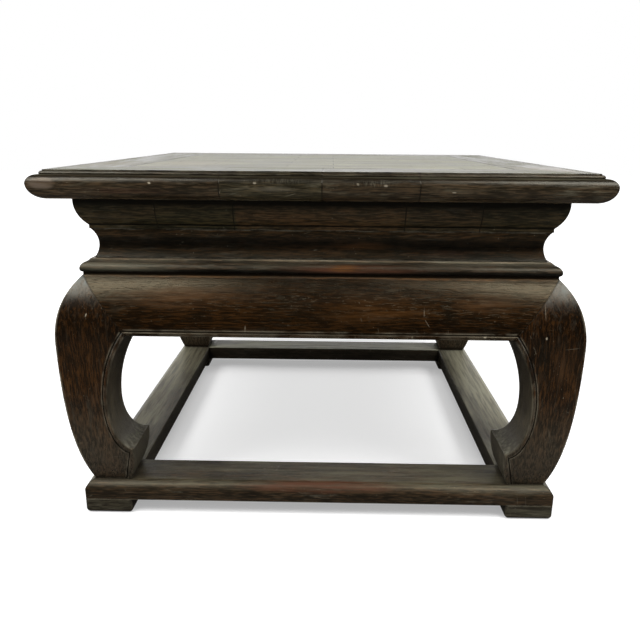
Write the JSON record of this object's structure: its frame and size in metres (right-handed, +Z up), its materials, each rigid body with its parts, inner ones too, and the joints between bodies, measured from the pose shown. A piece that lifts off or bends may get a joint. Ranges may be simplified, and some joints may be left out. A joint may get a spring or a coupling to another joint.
{
  "type": "kang table",
  "caption": "low square waisted table with bulging beaded aprons, inward-curving hoof legs and a stretcher frame on block feet",
  "frame": {"origin": "centre of the table on the floor plane, under the middle of the top", "axes": "+X to the right and +Y to the rear of the side in the picture, +Z up"},
  "size_m": [0.66, 0.66, 0.447],
  "materials": {
    "frame_wood": "aged dark stained hardwood, rubbed edges",
    "panel_wood": "aged dark stained hardwood parquetry, dry worn top",
    "moulding_wood": "aged dark stained hardwood, grime in the hollows",
    "apron_wood": "aged dark red-brown hardwood, soft sheen",
    "leg_wood": "aged dark red-brown hardwood, soft sheen",
    "base_wood": "aged dark hardwood, scuffed and greyed",
    "batten_wood": "unfinished secondary hardwood"
  },
  "bodies": {
    "root": {"top_rail_front": "frame_wood", "top_rail_right": "frame_wood", "top_rail_rear": "frame_wood", "top_rail_left": "frame_wood", "upper_moulding_front": "moulding_wood", "upper_moulding_right": "moulding_wood", "upper_moulding_rear": "moulding_wood", "upper_moulding_left": "moulding_wood", "waist_front": "moulding_wood", "waist_right": "moulding_wood", "waist_rear": "moulding_wood", "waist_left": "moulding_wood", "lower_moulding_front": "moulding_wood", "lower_moulding_right": "moulding_wood", "lower_moulding_rear": "moulding_wood", "lower_moulding_left": "moulding_wood", "apron_front": "apron_wood", "apron_right": "apron_wood", "apron_rear": "apron_wood", "apron_left": "apron_wood", "base_rail_front": "base_wood", "base_rail_right": "base_wood", "base_rail_rear": "base_wood", "base_rail_left": "base_wood", "leg_front_left": "leg_wood", "leg_front_right": "leg_wood", "leg_rear_right": "leg_wood", "leg_rear_left": "leg_wood", "foot_front_left": "base_wood", "foot_front_right": "base_wood", "foot_rear_right": "base_wood", "foot_rear_left": "base_wood", "top_panel": "panel_wood", "top_batten_left": "batten_wood", "top_batten_right": "batten_wood"}
  },
  "joints": []
}
